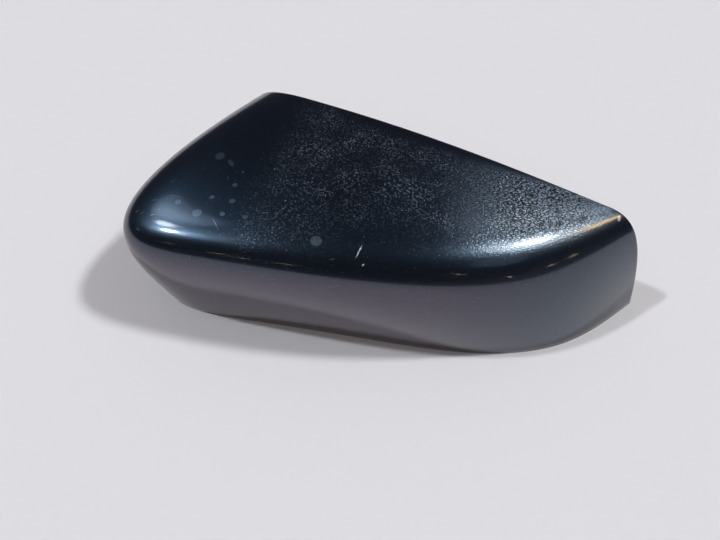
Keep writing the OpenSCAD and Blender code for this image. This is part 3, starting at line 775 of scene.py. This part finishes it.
# Each clip's plan point and the way its hook faces: two along the front, one at the nose, and two
# behind the rib along the cut edge
clip_places = [
    (guide(SHOULDER_GUIDE, 0.50)[0], math.radians(-90)),
    (guide(SHOULDER_GUIDE, 0.72)[0], math.radians(-72)),
    (guide(SHOULDER_GUIDE, 0.20)[0], math.radians(180)),
    (rib_a + (rib_b - rib_a) * 0.22 + edge_in * BEHIND_EDGE_RIB, edge_angle + math.pi / 2),
    (rib_a + (rib_b - rib_a) * 0.62 + edge_in * BEHIND_EDGE_RIB, edge_angle + math.pi / 2)]
clip_points = [(*q, 0.0) for q in outline]
for place, turn in clip_places:
    sideways = np.array([-math.sin(turn), math.cos(turn)]) * CLIP_WIDTH / 2
    lower_side = min(face_z(place - sideways), face_z(place + sideways))
    clip_points.append((*place, lower_side - WALL - CLIP_LENGTH))
corners = len(outline)
clips = grown("snap_clips", clip_points, [(k, (k + 1) % corners) for k in range(corners)], {
    "outline": [(1, 0, 0)] * corners + [(0, 0, 0)] * len(clip_places),
    "facing": [(0, 0, 0)] * corners + [(0, 0, turn) for _, turn in clip_places]}, tree, CLIP_SIZES)
finish_edges(clips, 0.25 * MM)


# Floor, light and camera. A plain pale floor, a ceiling lamp on either side behind the cap, a row
# of small warm lamps far off round the room, and a dim room for the black paint to mirror.
floor_mesh = bpy.data.meshes.new("floor")
FLOOR_HALF = 3.0
floor_mesh.from_pydata([
    (-FLOOR_HALF, -FLOOR_HALF, 0), (FLOOR_HALF, -FLOOR_HALF, 0),
    (FLOOR_HALF, FLOOR_HALF, 0), (-FLOOR_HALF, FLOOR_HALF, 0)], [], [(0, 1, 2, 3)])
floor = bpy.data.objects.new("floor", floor_mesh)
bpy.context.scene.collection.objects.link(floor)
matt, nodes = new_material("matt white floor")
matt_shader = add(nodes, "ShaderNodeBsdfPrincipled", {
    "Base Color": srgb("E8E7EA"), "Roughness": 0.9, "Specular IOR Level": 0.1})
add(nodes, "ShaderNodeOutputMaterial", {"Surface": matt_shader.outputs[0]})
floor_mesh.materials.append(matt)

world = bpy.data.worlds.new("dim room")
world.use_nodes = True
world.node_tree.nodes["Background"].inputs["Color"].default_value = (0.95, 0.97, 1.30, 1.0)
world.node_tree.nodes["Background"].inputs["Strength"].default_value = 0.058
bpy.context.scene.world = world
bpy.context.scene.view_settings.view_transform = "Standard"


def lamp(name, towards, strength, spread, colour, on_floor=True, in_paint=True):
    """A distant lamp in the direction given, as wide as its spread in degrees, that lights dull
    surfaces, or shows in glossy ones, or both."""
    data = bpy.data.lights.new(name, "SUN")
    data.energy = strength
    data.angle = math.radians(spread)
    data.color = colour
    light = bpy.data.objects.new(name, data)
    light.rotation_mode = "QUATERNION"
    light.rotation_quaternion = Vector(towards).to_track_quat("Z", "Y")
    light.visible_diffuse = on_floor
    light.visible_glossy = in_paint
    bpy.context.scene.collection.objects.link(light)


# Each ceiling lamp is split in two: the light it throws on the floor, and the smaller, softer image
# that the aged clear coat shows of it, with the glow of the lamp's shade round that image
COOL = (0.95, 0.99, 1.03)
PALE_BLUE = (0.9, 1.0, 1.15)
BLUE = (0.78, 1.0, 1.27)
WARM = (1.0, 0.74, 0.42)
lamp("left lamp", (-0.622, -0.035, 0.782), 1.02, 3.0, (0.95, 0.99, 1.05), in_paint=False)
lamp("left lamp seen", (-0.622, -0.065, 0.781), 1.05, 4.0, COOL, on_floor=False)
lamp("left lamp seen below", (-0.628, 0.150, 0.758), 0.24, 8.0, COOL, on_floor=False)
lamp("right lamp", (0.565, 0.195, 0.801), 1.60, 6.0, (0.97, 0.99, 1.0), in_paint=False)
lamp("right lamp seen", (0.592, 0.125, 0.796), 0.88, 10.0, COOL, on_floor=False)
lamp("right lamp's shade", (0.590, 0.110, 0.790), 0.62, 24.0, COOL, on_floor=False)
lamp("right glow low", (0.647, -0.387, 0.657), 0.025, 18.0, BLUE, on_floor=False)
for spread, strength in ((8, 0.017), (13, 0.046), (19, 0.095)):
    lamp(f"left glow {spread}", (-0.575, 0.37, 0.72), strength, spread, BLUE, on_floor=False)
for spread, strength in ((18, 0.17), (30, 0.09)):
    lamp(f"right glow {spread}", (0.42, 0.60, 0.68), strength, spread, PALE_BLUE, on_floor=False)
lamp("ceiling bounce", (0.0, 0.0, 1.0), 0.66, 120.0, (1.0, 0.89, 0.78), in_paint=False)

# Bearing and height of each far warm lamp, in degrees
WARM_LAMPS = [
    (-171, 22), (-135, 28), (-118, 24), (-112, 21), (-103, 23), (-54, 27), (-40, 9), (-24, 9),
    (-16, 10)]
for number, (bearing, height) in enumerate(WARM_LAMPS):
    round_to, up_to = math.radians(bearing), math.radians(height)
    lamp(f"warm lamp {number + 1}", (
        math.cos(up_to) * math.cos(round_to), math.cos(up_to) * math.sin(round_to),
        math.sin(up_to)),
        0.006, 1.1, WARM, on_floor=False)
lamp("warm lamp behind", (0.775, 0.180, 0.605), 0.17, 7.5, (1.0, 0.60, 0.20), on_floor=False)

# The camera's place and turn come from the weave of the cloth in the photograph, for a phone lens
PHOTO_TURN = math.radians(6.0)
PITCH = math.radians(57.88)
ROLL = math.radians(4.06)
CAMERA_PLACE = (-2.147 * MM, -156.357 * MM, 233.0 * MM)
PHOTO_WIDTH = 720
FOCAL_PIXELS = 541
SENSOR_WIDTH = 36.0


def over_table(right, away):
    """A level direction, to the photo's right and away from its viewer, in the part's own axes."""
    c, s = math.cos(PHOTO_TURN), math.sin(PHOTO_TURN)
    return c * right - s * away, s * right + c * away


level_right = Vector((*over_table(1, 0), 0))
ahead = Vector((*over_table(0, math.cos(PITCH)), -math.sin(PITCH)))
down = Vector((*over_table(0, -math.sin(PITCH)), -math.cos(PITCH)))
image_right = level_right * math.cos(ROLL) - down * math.sin(ROLL)
image_up = -(level_right * math.sin(ROLL) + down * math.cos(ROLL))
camera_data = bpy.data.cameras.new("camera")
camera_data.sensor_width = SENSOR_WIDTH
camera_data.lens = SENSOR_WIDTH * FOCAL_PIXELS / PHOTO_WIDTH
camera_data.clip_start = 0.01
camera = bpy.data.objects.new("camera", camera_data)
camera.matrix_world = Matrix((
    *[(image_right[k], image_up[k], -ahead[k], CAMERA_PLACE[k]) for k in range(3)], (0, 0, 0, 1)))
bpy.context.scene.collection.objects.link(camera)
bpy.context.scene.camera = camera
